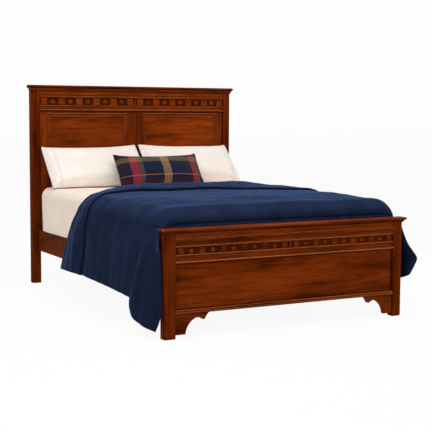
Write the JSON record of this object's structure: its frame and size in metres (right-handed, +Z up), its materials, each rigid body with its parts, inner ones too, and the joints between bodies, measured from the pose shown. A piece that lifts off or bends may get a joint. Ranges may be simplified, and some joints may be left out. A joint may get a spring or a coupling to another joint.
{
  "type": "panel bed",
  "caption": "Dressed full-size panel bed: tall headboard, low footboard with bracket feet, block-and-boss friezes, hook-on side rails, slats, mattress, comforter and pillows",
  "frame": {"origin": "on the floor at the middle of the bed's bounding box", "axes": "+Y from footboard to headboard, the longest side; +Z up, the shortest side; +X to the right seen from the foot"},
  "size_m": [1.6767, 2.099, 1.333],
  "materials": {
    "stained_cherry": "satin lacquer over red-brown stain",
    "secondary_wood": "sanded, unfinished",
    "zinc_steel": "zinc plated",
    "glide_nylon": "moulded, matt",
    "foundation_cloth": "woven cover",
    "mattress_ticking": "woven cover",
    "sheet_cotton": "plain weave",
    "pillow_cotton": "plain weave",
    "comforter_cotton": "quilted sateen",
    "checked_wool": "twill check"
  },
  "bodies": {
    "frame": {"foot_post_left": "stained_cherry", "foot_post_right": "stained_cherry", "foot_cap": "stained_cherry", "foot_cove_moulding": "stained_cherry", "foot_top_rail": "stained_cherry", "foot_bottom_rail": "stained_cherry", "foot_panel": "stained_cherry", "foot_crown_moulding": "stained_cherry", "foot_lower_moulding": "stained_cherry", "foot_base_moulding": "stained_cherry", "foot_frieze_blocks": "stained_cherry", "foot_frieze_bosses": "stained_cherry", "foot_frieze_divider": "stained_cherry", "foot_bracket_left": "stained_cherry", "foot_bracket_right": "stained_cherry", "foot_glue_blocks": "secondary_wood", "head_post_left": "stained_cherry", "head_post_right": "stained_cherry", "head_cap": "stained_cherry", "head_cove_moulding": "stained_cherry", "head_top_rail": "stained_cherry", "head_bottom_rail": "stained_cherry", "head_stile_left": "stained_cherry", "head_stile_right": "stained_cherry", "head_centre_stile": "stained_cherry", "head_panel_left": "stained_cherry", "head_panel_right": "stained_cherry", "head_panel_mouldings": "stained_cherry", "head_crown_moulding": "stained_cherry", "head_lower_moulding": "stained_cherry", "head_frieze_blocks": "stained_cherry", "head_frieze_bosses": "stained_cherry", "head_frieze_divider": "stained_cherry", "rail_left": "stained_cherry", "rail_right": "stained_cherry", "cleat_left": "secondary_wood", "cleat_right": "secondary_wood", "rail_hook_plates": "zinc_steel", "post_receiver_plates": "zinc_steel", "slat_1": "secondary_wood", "slat_2": "secondary_wood", "slat_3": "secondary_wood", "slat_4": "secondary_wood", "slat_5": "secondary_wood", "centre_leg_1": "secondary_wood", "centre_leg_2": "secondary_wood", "centre_leg_3": "secondary_wood", "leg_inserts": "zinc_steel"},
    "glide_1": {"levelling_glide_1": "glide_nylon"},
    "glide_2": {"levelling_glide_2": "glide_nylon"},
    "glide_3": {"levelling_glide_3": "glide_nylon"},
    "mattress_set": {"foundation": "foundation_cloth", "mattress": "mattress_ticking", "sheet": "sheet_cotton"},
    "comforter": {"comforter": "comforter_cotton", "comforter_foot_drop": "comforter_cotton", "comforter_foot_corners": "comforter_cotton"},
    "pillows": {"pillow_left": "pillow_cotton", "pillow_right": "pillow_cotton"},
    "cushion": {"checked_cushion": "checked_wool"}
  },
  "joints": [
    {"name": "glide_1_screw", "type": "slide", "parent": "frame", "child": "glide_1", "axis": [0, 0, 1], "range_m": [0, 0.012]},
    {"name": "glide_2_screw", "type": "slide", "parent": "frame", "child": "glide_2", "axis": [0, 0, 1], "range_m": [0, 0.012]},
    {"name": "glide_3_screw", "type": "slide", "parent": "frame", "child": "glide_3", "axis": [0, 0, 1], "range_m": [0, 0.012]},
    {"name": "mattress_lift", "type": "slide", "parent": "frame", "child": "mattress_set", "axis": [0, 0, 1], "range_m": [0, 0.6]},
    {"name": "comforter_lift", "type": "slide", "parent": "mattress_set", "child": "comforter", "axis": [0, 0, 1], "range_m": [0, 0.75]},
    {"name": "pillow_lift", "type": "slide", "parent": "mattress_set", "child": "pillows", "axis": [0, 0, 1], "range_m": [0, 0.35]},
    {"name": "cushion_lift", "type": "slide", "parent": "pillows", "child": "cushion", "axis": [0, 0, 1], "range_m": [0, 0.4]}
  ]
}
